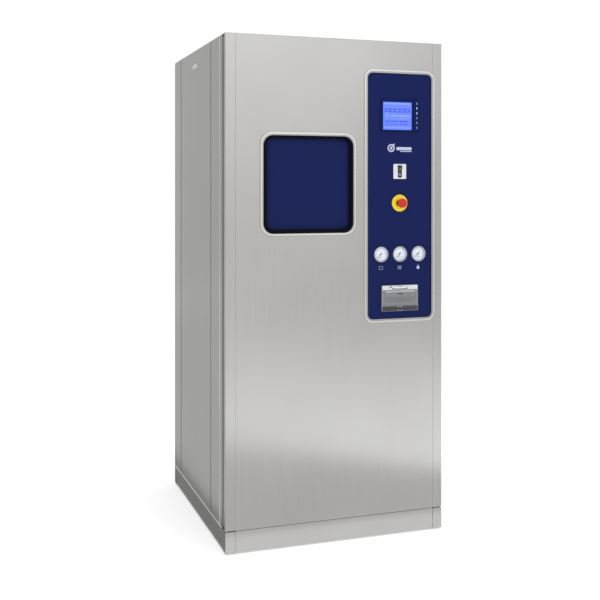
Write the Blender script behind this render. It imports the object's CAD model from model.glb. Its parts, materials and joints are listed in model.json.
"""Front-loading steam steriliser: finishes, printed details, studio and camera
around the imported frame. Metres, +Z up, the front faces -Y."""
import json
import math

import bmesh
import bpy
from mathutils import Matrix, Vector


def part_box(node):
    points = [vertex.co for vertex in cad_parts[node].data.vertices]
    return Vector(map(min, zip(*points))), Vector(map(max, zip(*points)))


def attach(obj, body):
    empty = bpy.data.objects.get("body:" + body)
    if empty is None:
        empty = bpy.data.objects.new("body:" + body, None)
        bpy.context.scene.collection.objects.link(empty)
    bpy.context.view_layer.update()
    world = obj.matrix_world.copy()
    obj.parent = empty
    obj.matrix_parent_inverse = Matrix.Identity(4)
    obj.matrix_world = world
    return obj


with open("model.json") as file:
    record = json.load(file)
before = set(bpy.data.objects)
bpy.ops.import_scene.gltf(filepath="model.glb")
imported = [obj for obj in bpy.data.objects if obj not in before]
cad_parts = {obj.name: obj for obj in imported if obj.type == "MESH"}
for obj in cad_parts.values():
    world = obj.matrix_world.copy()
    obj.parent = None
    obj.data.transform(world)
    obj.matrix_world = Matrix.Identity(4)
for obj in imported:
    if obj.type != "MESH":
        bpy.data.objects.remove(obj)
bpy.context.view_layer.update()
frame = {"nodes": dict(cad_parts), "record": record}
MM = 0.001

# ------------------------------------------------------------------ materials


def material(name, colour, rough, grain=(400, 400, 400), metal=0.0, spec=0.5,
             vary=0.05, rough_vary=0.05, bump=0.08, depth=0.0001, edge=0.0,
             blotch=0.03, coat=0.0, glow=0.0, clear=0.0, ior=1.45):
    """A finish from two noises: a fine grain and a broad unevenness."""
    mat = bpy.data.materials.new(name)
    mat.use_nodes = True
    tree = mat.node_tree
    new, link = tree.nodes.new, tree.links.new
    shader = tree.nodes["Principled BSDF"]
    coords = new("ShaderNodeTexCoord")
    stretch = new("ShaderNodeMapping")
    stretch.inputs["Scale"].default_value = grain
    link(coords.outputs["Object"], stretch.inputs["Vector"])
    fine = new("ShaderNodeTexNoise")
    fine.inputs["Scale"].default_value = 1.0
    fine.inputs["Detail"].default_value = 3.0
    link(stretch.outputs["Vector"], fine.inputs["Vector"])
    broad = new("ShaderNodeTexNoise")
    broad.inputs["Scale"].default_value = 4.0
    broad.inputs["Detail"].default_value = 2.0
    link(coords.outputs["Object"], broad.inputs["Vector"])

    def spread(source, low, high):
        node = new("ShaderNodeMapRange")
        node.inputs["From Min"].default_value = 0.3
        node.inputs["From Max"].default_value = 0.7
        node.inputs["To Min"].default_value = low
        node.inputs["To Max"].default_value = high
        link(source.outputs["Fac"], node.inputs["Value"])
        return node.outputs["Result"]

    gain = new("ShaderNodeMath")
    gain.operation = "MULTIPLY"
    link(spread(fine, 1 - vary, 1 + vary), gain.inputs[0])
    link(spread(broad, 1 - blotch, 1 + blotch), gain.inputs[1])
    tint = new("ShaderNodeVectorMath")
    tint.operation = "SCALE"
    tint.inputs[0].default_value = colour
    link(gain.outputs[0], tint.inputs["Scale"])
    link(tint.outputs[0], shader.inputs["Base Color"])
    link(spread(fine, max(rough - rough_vary, 0.02), rough + rough_vary),
         shader.inputs["Roughness"])
    shader.inputs["Metallic"].default_value = metal
    shader.inputs["Specular IOR Level"].default_value = spec
    shader.inputs["IOR"].default_value = ior
    shader.inputs["Coat Weight"].default_value = coat
    shader.inputs["Coat Roughness"].default_value = 0.08
    shader.inputs["Transmission Weight"].default_value = clear
    if glow:
        link(tint.outputs[0], shader.inputs["Emission Color"])
        shader.inputs["Emission Strength"].default_value = glow
    relief = new("ShaderNodeBump")
    relief.inputs["Strength"].default_value = bump
    relief.inputs["Distance"].default_value = depth
    link(fine.outputs["Fac"], relief.inputs["Height"])
    if edge:
        soften = new("ShaderNodeBevel")
        soften.samples = 4
        soften.inputs["Radius"].default_value = edge
        link(soften.outputs["Normal"], relief.inputs["Normal"])
    link(relief.outputs["Normal"], shader.inputs["Normal"])
    return mat


VERTICAL = (900, 900, 7)
ALONG_Y = (900, 7, 900)
FINE = (1500, 1500, 1500)
M = {
    "cladding_steel": material("cladding_steel", (0.60, 0.595, 0.585), 0.19, VERTICAL,
                               metal=1, vary=0.025, rough_vary=0.03, bump=0.05,
                               blotch=0.02, edge=0.0012),
    "recess_steel": material("recess_steel", (0.46, 0.46, 0.46), 0.45, VERTICAL, metal=0.6,
                             vary=0.03, bump=0.05),
    "top_steel": material("top_steel", (0.60, 0.595, 0.585), 0.22, ALONG_Y, metal=1,
                          vary=0.025, rough_vary=0.04, bump=0.05, edge=0.0012),
    "rim_steel": material("rim_steel", (0.50, 0.50, 0.49), 0.24, VERTICAL, metal=1,
                          vary=0.03, rough_vary=0.03, bump=0.05, edge=0.0008),
    "trim_steel": material("trim_steel", (0.86, 0.86, 0.85), 0.16, FINE, metal=1,
                           vary=0.02, rough_vary=0.02, bump=0.02, edge=0.0008),
    "frame_steel": material("frame_steel", (0.28, 0.29, 0.30), 0.45, FINE, vary=0.08),
    "foot_steel": material("foot_steel", (0.50, 0.50, 0.51), 0.35, FINE, metal=1),
    "navy_enamel": material("navy_enamel", (0.0062, 0.0125, 0.080), 0.42, (260, 260, 260),
                            spec=0.10, vary=0.04, bump=0.05, depth=0.0002, blotch=0.02),
    "navy_moulding": material("navy_moulding", (0.001, 0.009, 0.070), 0.42, FINE,
                              spec=0.12, bump=0.12, edge=0.0012),
    "screen": material("screen", (0.086, 0.136, 0.58), 0.30, (90, 90, 90), spec=0.08,
                       vary=0.05, blotch=0.05, glow=0.85, bump=0.0),
    "lamp_white": material("lamp_white", (0.12, 0.14, 0.25), 0.3, FINE, glow=0.25),
    "white_plastic": material("white_plastic", (0.64, 0.65, 0.70), 0.4, FINE, edge=0.0012),
    "black_plastic": material("black_plastic", (0.020, 0.020, 0.024), 0.4, FINE,
                              edge=0.0008),
    "stop_yellow": material("stop_yellow", (0.86, 0.66, 0.02), 0.3, FINE, edge=0.0006),
    "stop_red": material("stop_red", (0.60, 0.012, 0.012), 0.25, FINE, coat=0.3,
                         edge=0.0008),
    "machined_steel": material("machined_steel", (0.52, 0.52, 0.52), 0.28, (90, 2200, 90),
                               metal=1, vary=0.06, bump=0.1),
    "gauge_rim": material("gauge_rim", (0.80, 0.82, 0.86), 0.2, FINE, metal=1,
                          edge=0.0006),
    "dial_white": material("dial_white", (0.80, 0.84, 0.92), 0.6, FINE, glow=0.22),
    "gauge_glass": material("gauge_glass", (0.98, 0.99, 1.0), 0.03, (30, 30, 30),
                            vary=0.0, rough_vary=0.01, bump=0.0, clear=1.0, ior=1.2),
    "needle_black": material("needle_black", (0.02, 0.02, 0.022), 0.45, FINE),
    "printer_grey": material("printer_grey", (0.21, 0.225, 0.235), 0.42, (700, 700, 700),
                             spec=0.4, bump=0.18, edge=0.0012),
    "printer_dark": material("printer_dark", (0.050, 0.053, 0.060), 0.45, (700, 700, 700),
                             spec=0.3, bump=0.15),
    "printer_light": material("printer_light", (0.42, 0.43, 0.45), 0.4, (700, 700, 700),
                              bump=0.15),
    "paper": material("paper", (0.86, 0.86, 0.84), 0.8, (160, 1500, 160), spec=0.2,
                      vary=0.03, bump=0.15),
    "slide_plastic": material("slide_plastic", (0.80, 0.78, 0.70), 0.5, FINE),
    "gasket_red": material("gasket_red", (0.42, 0.10, 0.06), 0.6, FINE, bump=0.2),
    "seal_black": material("seal_black", (0.003, 0.004, 0.007), 0.6, FINE, spec=0.06,
                           bump=0.2),
    "cylinder_alloy": material("cylinder_alloy", (0.62, 0.63, 0.65), 0.35, (2000, 2000, 30),
                               metal=1),
    "chamber_steel": material("chamber_steel", (0.56, 0.56, 0.55), 0.3, (60, 60, 1600),
                              metal=1, vary=0.05),
    "lagging": material("lagging", (0.56, 0.50, 0.32), 0.95, (220, 220, 220), spec=0.1,
                        vary=0.25, bump=0.6, depth=0.002),
    "copper": material("copper", (0.78, 0.42, 0.26), 0.3, (200, 200, 200), metal=1,
                       vary=0.12, blotch=0.1),
    "brass": material("brass", (0.74, 0.55, 0.24), 0.33, FINE, metal=1, vary=0.08),
    "pump_paint": material("pump_paint", (0.04, 0.12, 0.22), 0.4, (900, 900, 900),
                           bump=0.2),
    "tank_plastic": material("tank_plastic", (0.80, 0.82, 0.80), 0.45, FINE, spec=0.4),
    "cabinet_paint": material("cabinet_paint", (0.62, 0.63, 0.61), 0.5, (600, 600, 600),
                              bump=0.3),
    "ink_light": material("ink_light", (0.42, 0.46, 0.60), 0.5, FINE, glow=0.12),
    "ink_dim": material("ink_dim", (0.17, 0.20, 0.30), 0.5, FINE, glow=0.12),
    "ink_dark": material("ink_dark", (0.06, 0.07, 0.09), 0.6, FINE),
    "screen_light": material("screen_light", (0.15, 0.21, 0.72), 0.3, FINE, spec=0.08,
                             glow=0.8, bump=0.0),
    "screen_dark": material("screen_dark", (0.045, 0.075, 0.48), 0.3, FINE, spec=0.08,
                            glow=0.85, bump=0.0),
    "lamp_lit": material("lamp_lit", (0.27, 0.31, 0.48), 0.3, FINE, glow=0.4),
}


# Nodes whose finish differs from the one their slot names
LOOK_OF = {"top_panel": "top_steel", "window_trim": "rim_steel", "panel_trim": "rim_steel",
           "rear_connections": "foot_steel"}
for entry in frame["record"]["subparts"]:
    node = frame["nodes"][entry["node"]]
    look = M[LOOK_OF.get(entry["node"], entry["material_slot"])]
    node.data.materials.clear()
    node.data.materials.append(look)

# --------------------------------------------------------------- mesh helpers


def rounded(w, h, r, cx=0.0, cz=0.0, n=8):
    """Points of a rounded rectangle in X and Z, counter-clockwise, in mm."""
    points = []
    for i, (sx, sz) in enumerate(((1, 1), (-1, 1), (-1, -1), (1, -1))):
        for k in range(n + 1):
            a = math.radians(90 * i + 90 * k / n)
            points.append((cx + sx * (w / 2 - r) + r * math.cos(a),
                           cz + sz * (h / 2 - r) + r * math.sin(a)))
    return points


def disc(r, cx=0.0, cz=0.0, n=40):
    return [(cx + r * math.cos(2 * math.pi * k / n), cz + r * math.sin(2 * math.pi * k / n))
            for k in range(n)]


def bar(cx, cz, length, width, angle=0.0):
    """A straight bar, turned by an angle in degrees."""
    c, s = math.cos(math.radians(angle)), math.sin(math.radians(angle))
    corners = ((1, 1), (-1, 1), (-1, -1), (1, -1))
    return [(cx + c * u * length / 2 - s * v * width / 2,
             cz + s * u * length / 2 + c * v * width / 2) for u, v in corners]


def loop(bm, points, y):
    return [bm.verts.new((x * MM, y * MM, z * MM)) for x, z in points]


def skirt(bm, a, b):
    for i in range(len(a)):
        j = (i + 1) % len(a)
        bm.faces.new((a[i], a[j], b[j], b[i]))


def slab(bm, points, front, back):
    """A flat plate that faces the front, between two values of Y."""
    a, b = loop(bm, points, front), loop(bm, points, back)
    skirt(bm, a, b)
    bm.faces.new(a)
    bm.faces.new(b)


def band(bm, outer, inner, front, back):
    """A closed ring between two outlines with as many points."""
    loops = [loop(bm, outer, front), loop(bm, outer, back),
             loop(bm, inner, back), loop(bm, inner, front)]
    for k in range(4):
        skirt(bm, loops[k], loops[(k + 1) % 4])


def turned(bm, profile, x, y, z, face, n=28):
    """A round piece whose axis points along face: profile is (radius, height)."""
    axis = Vector(face).normalized()
    side = axis.orthogonal().normalized()
    up = axis.cross(side)
    base = Vector((x, y, z))
    rings = []
    for r, h in profile:
        if r == 0:
            rings.append([bm.verts.new((base + axis * h) * MM)])
            continue
        rings.append([bm.verts.new((base + axis * h
                                    + side * (r * math.cos(2 * math.pi * k / n))
                                    + up * (r * math.sin(2 * math.pi * k / n))) * MM)
                      for k in range(n)])
    for a, b in zip(rings, rings[1:]):
        if len(b) == 1:
            for k in range(n):
                bm.faces.new((a[k], a[(k + 1) % n], b[0]))
        else:
            skirt(bm, a, b)
    bm.faces.new(rings[0])


def dress(obj, look, body):
    obj.data.materials.append(M[look])
    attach(obj, body)
    return obj


def piece(name, bm, look, body="cabinet", soft=0.0):
    """Turns the mesh code into a piece; soft is the width of its bevels in mm."""
    bmesh.ops.recalc_face_normals(bm, faces=bm.faces)
    mesh = bpy.data.meshes.new(name)
    bm.to_mesh(mesh)
    bm.free()
    for face in mesh.polygons:
        face.use_smooth = True
    mesh.set_sharp_from_angle(angle=math.radians(35))
    obj = bpy.data.objects.new(name, mesh)
    bpy.context.scene.collection.objects.link(obj)
    if soft:
        bevel = obj.modifiers.new("soft", "BEVEL")
        bevel.width = soft * MM
        bevel.segments = 3
        bevel.limit_method = "ANGLE"
        bevel.angle_limit = math.radians(40)
    return dress(obj, look, body)


def place(node):
    """Centre, size and the Y of the front face of a node, in mm."""
    low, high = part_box(node)
    return (low + high) / 2 / MM, (high - low) / MM, low.y / MM


# ------------------------------------------------------- rims round the openings

window, window_size, window_front = place("window_trim")
panel, panel_size, panel_front = place("panel_trim")
RIM_X, RIM_Z = 18, 15  # widths of the window's rim: at its sides, and at top and bottom
WINDOW_CORNER, PANEL_CORNER = 47, 34


def edging(name, centre, size, corner, front, inset, width):
    """A flat polished strip that runs round a rim, inset from its outer edge."""
    bm = bmesh.new()
    outlines = [rounded(size.x - 2 * d, size.z - 2 * d, corner - d, centre.x, centre.z, 12)
                for d in (inset, inset + width)]
    band(bm, *outlines, front - 1.1, front + 0.3)
    piece(name, bm, "trim_steel", soft=0.5)


edging("window_bead", window, window_size, WINDOW_CORNER, window_front, 2.4, 6.4)
edging("panel_bead", panel, panel_size, PANEL_CORNER, panel_front, 1.8, 5.8)

# The seal has a flange over the rim's inner edge and a leg that reaches to the door's cover
bm = bmesh.new()
wide, high = window_size.x - 2 * RIM_X, window_size.z - 2 * RIM_Z
flange = rounded(wide + 10.4, high + 6.4, 36.5, window.x, window.z - 2.0, 12)
lip = rounded(wide - 3, high - 3, 30.5, window.x, window.z, 12)
leg = rounded(wide - 0.6, high - 0.6, 31.7, window.x, window.z, 12)
face = rounded(wide - 15, high - 17, 25, window.x, window.z, 12)
rings = [loop(bm, outline, window_front + y) for outline, y in (
    (flange, 0.3), (flange, -0.8), (lip, -0.8), (lip, 2), (face, 2), (face, 13.5),
    (leg, 13.5), (leg, 0.3))]
for k, ring in enumerate(rings):
    skirt(bm, ring, rings[(k + 1) % len(rings)])
piece("window_seal", bm, "seal_black", soft=0.6)

# --------------------------------- folded returns in the seams and in the recess


def block(bm, low, high):
    """A straight strip between two corners, in mm."""
    corners = [bm.verts.new((x * MM, y * MM, z * MM)) for x in (low[0], high[0])
               for y in (low[1], high[1]) for z in (low[2], high[2])]
    for a in ((0, 1, 3, 2), (4, 6, 7, 5), (0, 4, 5, 1), (2, 3, 7, 6), (0, 2, 6, 4),
              (1, 5, 7, 3)):
        bm.faces.new([corners[i] for i in a])


front_low, front_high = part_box("front_panel")
post_low, post_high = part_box("front_corner_posts")
front, back = front_low.y / MM, post_high.y / MM
edge_x = front_high.x / MM
RECESS = 28  # from the corner posts to the side strips
outer_x, strip_front = post_high.x / MM, RECESS + back
low_z, high_z = post_low.z / MM + 1, front_high.z / MM - 1
for name, sign in (("left", -1), ("right", 1)):
    bm = bmesh.new()
    pair = sorted((sign * (edge_x + 0.02), sign * (edge_x + 0.98)))
    block(bm, (pair[0], front + 0.35, low_z), (pair[1], front + 3, high_z))
    piece(f"{name}_front_seam_return", bm, "cladding_steel")
    bm = bmesh.new()
    pair = sorted((sign * (outer_x - 9), sign * (outer_x - 8)))
    block(bm, (pair[0], back + 0.3, low_z), (pair[1], strip_front - 0.3, high_z))
    piece(f"{name}_recess_strip", bm, "recess_steel")
panel_low, panel_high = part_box("left_side_panel")
# A strip fills each seam beside the side panels, and a fold runs up the front strip
SEAM, STRIP_HALF, STRIP_PROUD = 1.0, 0.38, 0.6
FOLD_R, FOLD_Y = 0.9, -353
for name, sign in (("left", -1), ("right", 1)):
    bm = bmesh.new()
    pair = sorted((sign * (outer_x - 10), sign * (outer_x + STRIP_PROUD)))
    for y in (panel_low.y / MM - SEAM / 2, panel_high.y / MM + SEAM / 2):
        block(bm, (pair[0], y - STRIP_HALF, low_z), (pair[1], y + STRIP_HALF, high_z))
    piece(f"{name}_side_seam_strips", bm, "seal_black")
    bm = bmesh.new()
    turned(bm, [(FOLD_R, 0), (FOLD_R, high_z - low_z), (0, high_z - low_z)],
           sign * outer_x, FOLD_Y, low_z, (0, 0, 1), 16)
    piece(f"{name}_side_fold", bm, "trim_steel")
LIP_R, LIP_OUT = 1.9, 0.9
plinth_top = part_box("plinth_panels")[1].z / MM
side_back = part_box("side_strips")[1].y / MM
for name, sign in (("left", -1), ("right", 1)):
    curve = bpy.data.curves.new(f"{name}_plinth_lip", "CURVE")
    curve.dimensions = "3D"
    curve.bevel_depth = LIP_R * MM
    curve.bevel_resolution = 4
    curve.use_fill_caps = True
    run = curve.splines.new("POLY")
    run.points.add(1)
    for point, y in zip(run.points, (strip_front + 2, side_back - 2)):
        point.co = (sign * (outer_x + LIP_OUT) * MM, y * MM, (plinth_top + LIP_OUT) * MM, 1)
    lip = bpy.data.objects.new(curve.name, curve)
    bpy.context.scene.collection.objects.link(lip)
    dress(lip, "trim_steel", "cabinet")

# ------------------------------------------------------------------ the display

screen, _, screen_front = place("display_screen")
PRINT = 0.15  # thickness of the marks on the screen
sx, sz, lit = screen.x, screen.z, screen_front - PRINT
bm = bmesh.new()
slab(bm, bar(sx, sz + 20, 102, 13), lit, lit + PRINT)
for k, width in enumerate((16, 22, 12, 26, 14)):
    slab(bm, bar(sx - 44 + 20 * k + width / 6, sz - 20, width, 5), lit, lit + PRINT)
    slab(bm, bar(sx - 42 + 19 * k, sz - 31, 13, 4), lit, lit + PRINT)
piece("screen_fields", bm, "screen_dark")
bm = bmesh.new()
slab(bm, bar(sx, sz + 45, 106, 5), lit, lit + PRINT)
slab(bm, bar(sx + 12, sz + 0.5, 80, 7), lit, lit + PRINT)
slab(bm, bar(sx + 12, sz - 10, 80, 2.5), lit, lit + PRINT)
slab(bm, disc(5.5, sx - 41, sz + 1), lit, lit + PRINT)
slab(bm, bar(sx - 41, sz + 9, 4, 10), lit, lit + PRINT)
for k in range(5):
    slab(bm, bar(sx - 38 + 19 * k, sz + 20, 11, 3), lit - 0.1, lit + 0.05)
slab(bm, bar(sx, sz - 43, 106, 4), lit, lit + PRINT)
piece("screen_bars", bm, "screen_light")

lamps, lamps_size, lamps_front = place("status_lamps")
bm = bmesh.new()
LAMP_PITCH = 18
for number in (1, 2):
    z = lamps.z + lamps_size.z / 2 - 4.5 - LAMP_PITCH * number
    slab(bm, rounded(4.4, 8, 1, lamps.x, z, 3), lamps_front - 0.15, lamps_front + 0.3)
piece("lit_lamps", bm, "lamp_lit", soft=0.1)

# ---------------------------------------------- generic badge under the display

face = panel_front + 4
ink = face - 0.25
bm = bmesh.new()
BADGE_X, BADGE_Z = 213, 1426  # centre of the badge's ring
band(bm, disc(14.5, BADGE_X, BADGE_Z), disc(9.5, BADGE_X, BADGE_Z), ink, face)
slab(bm, disc(5.5, BADGE_X, BADGE_Z, 24), ink, face)
slab(bm, bar(BADGE_X + 8, BADGE_Z + 11, 14, 5, 40), ink - 0.05, face)
slab(bm, rounded(62, 11.5, 4, BADGE_X + 52, BADGE_Z - 1.5, 5), ink, face)
slab(bm, rounded(46, 3, 1.4, BADGE_X + 60, BADGE_Z - 11.5, 4), ink, face)
piece("badge", bm, "ink_light")

# ------------------------------------------------------------- marks on the rocker

switch, _, switch_front = place("switch_frame")


def on_rocker(points_list, y, z, tilt):
    """Flat marks that lie on one half of the rocker."""
    made = bmesh.new()
    for outer, inner in points_list:
        if inner:
            band(made, outer, inner, -0.25, 0.4)
        else:
            slab(made, outer, -0.25, 0.4)
    c, s = math.cos(tilt), math.sin(tilt)
    for vert in made.verts:
        x, v, w = vert.co
        vert.co = (x + switch.x * MM, y * MM + v * c + w * s, z * MM - v * s + w * c)
    return made


PIVOT_Y = switch_front + 8
piece("rocker_mark_on", on_rocker([(bar(0, 0, 9, 1.8, 90), None)],
                                  PIVOT_Y - 9.3, switch.z + 9.2,
                                  math.radians(-16.6)),
      "ink_light", "power_rocker")
piece("rocker_mark_off", on_rocker([(disc(4.2, 0, 0, 24), disc(2.7, 0, 0, 24))],
                                   PIVOT_Y - 6.6, switch.z - 11,
                                   math.radians(0.6)),
      "ink_light", "power_rocker")

# ------------------------------------------------------ gauge scales and pictograms

dials, dials_size, dial_face = place("gauge_dials")
pitch = (dials_size.x - dials_size.z) / 2
MARKS, STEP, SCALE_R = 31, 9, 21.6
MARK_TOP, MARK_FOOT = dial_face - 0.12, dial_face + 0.05
for number, start in enumerate((270, 225, 225)):
    cx, cz = dials.x + pitch * (number - 1), dials.z
    bm = bmesh.new()
    for k in range(MARKS):
        a = math.radians(start - STEP * k)
        length, width = (4.6, 1.0) if k % 5 == 0 else (2.4, 0.5)
        r = SCALE_R - length / 2
        slab(bm, bar(cx + r * math.cos(a), cz + r * math.sin(a), length, width,
                     math.degrees(a)), MARK_TOP, MARK_FOOT)
    slab(bm, bar(cx, cz - 11, 9, 1.4), MARK_TOP, MARK_FOOT)
    piece(f"gauge_scale_{number + 1}", bm, "ink_dark")
    bm = bmesh.new()
    pz = cz - 50
    if number == 0:
        band(bm, rounded(17, 13, 2, cx, pz, 3), rounded(13, 9, 1, cx, pz, 3), ink, face)
    elif number == 1:
        for u in (-1, 1):
            for v in (-1, 1):
                slab(bm, rounded(6.6, 5.6, 1, cx + 3.9 * u, pz + 3.4 * v, 3), ink, face)
    else:
        slab(bm, disc(6, cx, pz - 1.5, 24), ink, face)
        slab(bm, bar(cx, pz + 5.5, 3.4, 6), ink, face)
    piece(f"gauge_symbol_{number + 1}", bm, ("ink_dim", "ink_dim", "ink_light")[number])

# ------------------------------------------------------------------- the printer

printer, printer_size, printer_front = place("printer_body")
flap, flap_size, flap_front = place("printer_cover")
top = printer.z + printer_size.z / 2
slot = rounded(61, 5, 0.4, printer.x, top - 13, 4)  # outline round the paper's slot
bm = bmesh.new()
band(bm, rounded(printer_size.x - 6, 16.4, 1.5, printer.x, top - 9.8, 4),
     slot, printer_front - 0.4, printer_front)
piece("printer_label", bm, "white_plastic", soft=0.15)
bm = bmesh.new()
for u, width in ((-38, 9), (-6, 5), (4, 6)):
    slab(bm, bar(printer.x + u, top - 6, width, 4.4), printer_front - 0.55,
         printer_front - 0.3)
piece("printer_label_marks", bm, "ink_dark")
bm = bmesh.new()
for sign in (-1, 1):
    slab(bm, rounded(printer_size.x / 2 - 12, 16, 1.5,
                     printer.x + sign * (printer_size.x / 4 + 3.5), top - 86.5, 4),
         printer_front - 0.35, printer_front + 0.1)
piece("printer_sill", bm, "printer_dark", soft=0.12)
bm = bmesh.new()
PAPER_HALF = 27
edge_y, edge_z = printer_front + 2, top - 13.2
curl = [(0.0, 0.0), (-2.0, 0.2), (-3.4, 0.9), (-4.4, 2.2), (-4.8, 4.0), (-4.6, 6.2)]
rows = [[bm.verts.new(((printer.x + side * PAPER_HALF) * MM, (edge_y + y) * MM,
                       (edge_z + z) * MM)) for side in (-1, 1)] for y, z in curl]
for a, b in zip(rows, rows[1:]):
    bm.faces.new((a[0], a[1], b[1], b[0]))
strip = piece("printer_paper", bm, "paper")
thick = strip.modifiers.new("thick", "SOLIDIFY")
thick.thickness = 0.12 * MM
bm = bmesh.new()
flap_low = flap.z - flap_size.z / 2
slab(bm, rounded(16, 3.4, 1.2, flap.x, flap_low + 44, 4), flap_front - 0.3,
     flap_front + 0.4)
piece("printer_cover_grip", bm, "ink_dark", "printer_cover", soft=0.1)
bm = bmesh.new()
slab(bm, rounded(flap_size.x - 12, 6, 1, flap.x, flap_low + 53, 3), flap_front - 0.3,
     flap_front + 0.4)
piece("printer_cover_band", bm, "printer_light", "printer_cover", soft=0.1)
bm = bmesh.new()
for k in range(3):
    slab(bm, rounded(flap_size.x - 22, 1.2, 0.5, flap.x, flap_low + 16 + 7 * k, 3),
         flap_front - 0.35, flap_front + 0.3)
piece("printer_cover_ribs", bm, "printer_grey", "printer_cover", soft=0.12)

# --------------------------------------------- lock plates on the two side panels

lock_y = place("left_panel_lock")[0].y
lock_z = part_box("left_panel_lock")[0].z / MM + 14
side_x = panel_low.x / MM
PLATE = 1.4  # how far the plate stands out
for name, sign in (("left_lock_plate", 1), ("right_lock_plate", -1)):
    bm = bmesh.new()
    band(bm, rounded(66, 18, 8.9, n=10), rounded(18.6, 16.6, 8.2, n=10), -PLATE, 0.0)
    for vert in bm.verts:
        x, y, z = vert.co
        vert.co = ((side_x * sign) * MM + y * sign, lock_y * MM - x, z + lock_z * MM)
    piece(name, bm, "white_plastic", soft=0.4)

# ------------------------------------------------------ rear: screws, lips, plate

back_low, back_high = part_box("back_panel")
rear = back_high.y / MM
REARWARD = (0, 1, 0)
HEAD = [(4.6, 0), (4.6, 0.9), (4.0, 1.7), (2.6, 2.3), (1.9, 2.3), (1.7, 1.0), (0, 1.0)]
SCREW_X, SCREW_IN, SCREW_ROWS = 398, 22, 8
bm = bmesh.new()
low_z, high_z = back_low.z / MM + SCREW_IN, back_high.z / MM - SCREW_IN
for sign in (-1, 1):
    for k in range(SCREW_ROWS):
        turned(bm, HEAD, sign * SCREW_X, rear,
               low_z + (high_z - low_z) * k / (SCREW_ROWS - 1), REARWARD)
for z in (low_z, high_z):
    for x in (-265, -132, 0, 132, 265):
        turned(bm, HEAD, x, rear, z, REARWARD)
piece("back_screws", bm, "foot_steel")
SLOTS, SLOT_PITCH, SLOT_DROP = 8, 16, 200
LIP_HALF, LIP_REACH, LIP_FOOT, LIP_RISE = 92, 6.5, 6.2, 7.5
bm = bmesh.new()
for k in range(SLOTS):
    z = back_high.z / MM - SLOT_DROP + SLOT_PITCH * k
    foot, head = z + LIP_FOOT, z + LIP_FOOT + LIP_RISE
    edge = (rear + LIP_REACH, z + 3.4)
    a = [bm.verts.new((x * MM, y * MM, zz * MM)) for x, y, zz in (
        (-LIP_HALF, rear, foot), (LIP_HALF, rear, foot),
        (LIP_HALF - 3, *edge), (3 - LIP_HALF, *edge),
        (-LIP_HALF, rear, head), (LIP_HALF, rear, head))]
    for corners in ((0, 1, 2, 3), (3, 2, 5, 4), (0, 3, 4), (1, 5, 2), (0, 4, 5, 1)):
        bm.faces.new([a[i] for i in corners])
piece("back_louvre_lips", bm, "cladding_steel", soft=0.8)
bm = bmesh.new()
PLATE_X, PLATE_Z = -250, 520
slab(bm, rounded(120, 72, 4, PLATE_X, PLATE_Z, 6), rear + 0.8, rear)
piece("rear_plate", bm, "foot_steel", soft=0.2)
bm = bmesh.new()
RIVET = [(2.4, 0), (2.2, 0.8), (1.2, 1.4), (0, 1.5)]
for x in (PLATE_X - 54, PLATE_X + 54):
    for z in (PLATE_Z - 30, PLATE_Z + 30):
        turned(bm, RIVET, x, rear + 0.7, z, REARWARD)
piece("rear_plate_rivets", bm, "machined_steel")

# ------------------------------------------------------------- studio and camera


def stage_sheet(name, corners, colour, glow, diffuse=0.8, seen=True, fade=()):
    """A flat sheet of the studio. One that isn't seen only shows in reflections.
    fade lists (axis, from, to, brightness there, brightness here) in metres."""
    mesh = bpy.data.meshes.new(name)
    mesh.from_pydata(corners, [], [list(range(len(corners)))])
    obj = bpy.data.objects.new(name, mesh)
    bpy.context.scene.collection.objects.link(obj)
    mat = bpy.data.materials.new(name)
    mat.use_nodes = True
    shader = mat.node_tree.nodes["Principled BSDF"]
    shader.inputs["Base Color"].default_value = (*[diffuse * c for c in colour], 1)
    shader.inputs["Roughness"].default_value = 0.9
    shader.inputs["Specular IOR Level"].default_value = 0.0
    shader.inputs["Emission Color"].default_value = (*colour, 1)
    shader.inputs["Emission Strength"].default_value = glow
    tree = mat.node_tree
    strength = None
    for axis, start, end, low, high in fade:
        coords = tree.nodes.new("ShaderNodeTexCoord")
        parts = tree.nodes.new("ShaderNodeSeparateXYZ")
        tree.links.new(coords.outputs["Object"], parts.inputs[0])
        scale = tree.nodes.new("ShaderNodeMapRange")
        for label, value in (("From Min", start), ("From Max", end), ("To Min", low),
                             ("To Max", high)):
            scale.inputs[label].default_value = value
        tree.links.new(parts.outputs[axis], scale.inputs["Value"])
        if strength:
            both = tree.nodes.new("ShaderNodeMath")
            both.operation = "MULTIPLY"
            tree.links.new(strength, both.inputs[0])
            tree.links.new(scale.outputs["Result"], both.inputs[1])
            strength = both.outputs[0]
        else:
            strength = scale.outputs["Result"]
    if strength:
        tree.links.new(strength, shader.inputs["Emission Strength"])
    mesh.materials.append(mat)
    if not seen:
        obj.visible_camera = False
        obj.visible_diffuse = False
        obj.visible_shadow = False
        obj.visible_transmission = False


stage_sheet("floor", [(-9, -9, 0), (9, -9, 0), (9, 6, 0), (-9, 6, 0)], (1, 1, 1), 0.42, 0.75)
stage_sheet("backdrop", [(-1.1, 6, 0), (9, 6, 0), (9, 6, 5), (-1.1, 6, 5)], (1, 1, 1),
            0.95, 0.1)
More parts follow.
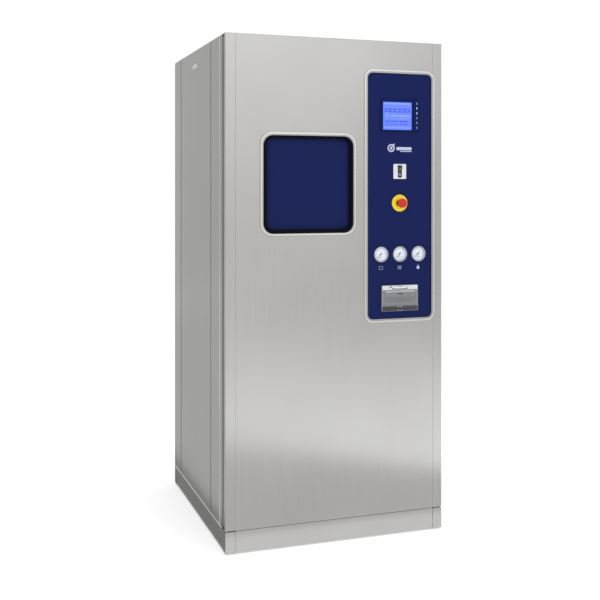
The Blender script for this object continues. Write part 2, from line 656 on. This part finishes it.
# Reflector cards, which only the gloss of the steel picks up. LINE is the slanted edge that
# shows low on the front panel
LINE = ((0.769, -1.115), (-0.055, -1.837))
stage_sheet("front_card", [(-9, -9, 0.002), (9, -9, 0.002), (9, 6, 0.002), (0.45, 6, 0.002),
                           (0.45, -0.44, 0.002), (-9, -0.44, 0.002)],
            (1, 1, 1), 1.0, 0.0, seen=False,
            fade=(("Y", -5.5, -1.2, 0.75, 1.14), ("X", 0.8, 3.2, 1.0, 0.84)))
stage_sheet("front_flag", [(-2.5, -0.60, 0.004), (1.357, -0.60, 0.004), (*LINE[0], 0.004),
                           (*LINE[1], 0.004), (-2.5, -3.98, 0.004)],
            (1, 1, 1), 0.63, 0.0, seen=False)
stage_sheet("near_flag", [(-0.43, -0.60, 0.004), (1.357, -0.60, 0.004), (1.357, -0.437, 0.004),
                          (-0.43, -0.437, 0.004)], (1, 1, 1), 0.86, 0.0, seen=False)
stage_sheet("side_flag", [(-9, -0.44, 0.003), (-0.42, -0.44, 0.003), (-0.42, 9, 0.003),
                          (-9, 9, 0.003)], (1, 1, 1), 0.50, 0.0, seen=False)
stage_sheet("side_flag_near", [(-0.505, -0.44, 0.006), (-0.42, -0.44, 0.006),
                               (-0.42, 1.0, 0.006), (-0.505, 1.0, 0.006)],
            (1, 1, 1), 0.24, 0.0, seen=False)

world = bpy.data.worlds.new("studio")
bpy.context.scene.world = world
world.use_nodes = True
tree = world.node_tree
new, link = tree.nodes.new, tree.links.new
direction = new("ShaderNodeTexCoord")
parts = new("ShaderNodeSeparateXYZ")
link(direction.outputs["Generated"], parts.inputs[0])


def ramp(source, low, high, stops):
    """Brightness by one part of the direction: stops are (value, brightness)."""
    scale = new("ShaderNodeMapRange")
    scale.inputs["From Min"].default_value = low
    scale.inputs["From Max"].default_value = high
    link(source, scale.inputs["Value"])
    node = new("ShaderNodeValToRGB")
    node.color_ramp.interpolation = "EASE"
    cells = node.color_ramp.elements
    while len(cells) < len(stops):
        cells.new(0.5)
    for cell, (value, bright) in zip(cells, stops):
        cell.position = (value - low) / (high - low)
        cell.color = (*bright, 1) if isinstance(bright, tuple) else (bright,) * 3 + (1,)
    link(scale.outputs[0], node.inputs[0])
    return node.outputs[0]


height = ramp(parts.outputs["Z"], -0.4, 1.0,
              [(-0.4, 0.95), (-0.16, 0.90), (-0.08, (0.79, 0.77, 0.75)),
               (0.0, (0.80, 0.78, 0.755)), (0.08, 0.95), (0.15, 1.10), (0.5, 1.0), (1.0, 1.1)])
across = ramp(parts.outputs["X"], -1.0, 1.0,
              [(-1.0, 0.35), (-0.4, 0.0), (-0.12, 0.0), (0.06, 1.0), (0.36, 1.0),
               (0.46, 0.76), (0.6, 0.80), (1.0, 0.9)])
left = ramp(parts.outputs["X"], -1.0, 1.0,
            [(-1.0, 0.5), (-0.4, 0.475), (-0.15, 0.475), (0.06, 0.0)])
mix = new("ShaderNodeVectorMath")
mix.operation = "MULTIPLY_ADD"
link(height, mix.inputs[0])
link(across, mix.inputs[1])
link(left, mix.inputs[2])
link(mix.outputs[0], tree.nodes["Background"].inputs["Color"])
tree.nodes["Background"].inputs["Strength"].default_value = 1.0


def softbox(name, at, target, size, power):
    light = bpy.data.lights.new(name, "AREA")
    light.shape = "RECTANGLE"
    light.size, light.size_y = size
    light.energy = power
    obj = bpy.data.objects.new(name, light)
    bpy.context.scene.collection.objects.link(obj)
    obj.location = at
    obj.rotation_euler = (Vector(target) - Vector(at)).to_track_quat("-Z", "Y").to_euler()
    obj.visible_glossy = False


softbox("key", (-2.6, -3.2, 3.4), (0, 0, 1.1), (2.0, 1.6), 60)
softbox("top", (0.3, -0.6, 4.2), (0, 0, 0.9), (3.0, 2.4), 55)

camera = bpy.data.cameras.new("camera")
camera.lens = 57.53
camera.sensor_width = 36.0
camera.shift_y = -0.183
camera.dof.use_dof = False
camera_object = bpy.data.objects.new("camera", camera)
bpy.context.scene.collection.objects.link(camera_object)
camera_object.location = (-1.2549, -3.6714, 1.2706)
camera_object.rotation_euler = (math.radians(90), 0, math.radians(-18.95))
bpy.context.scene.camera = camera_object
bpy.context.scene.view_settings.view_transform = "Standard"
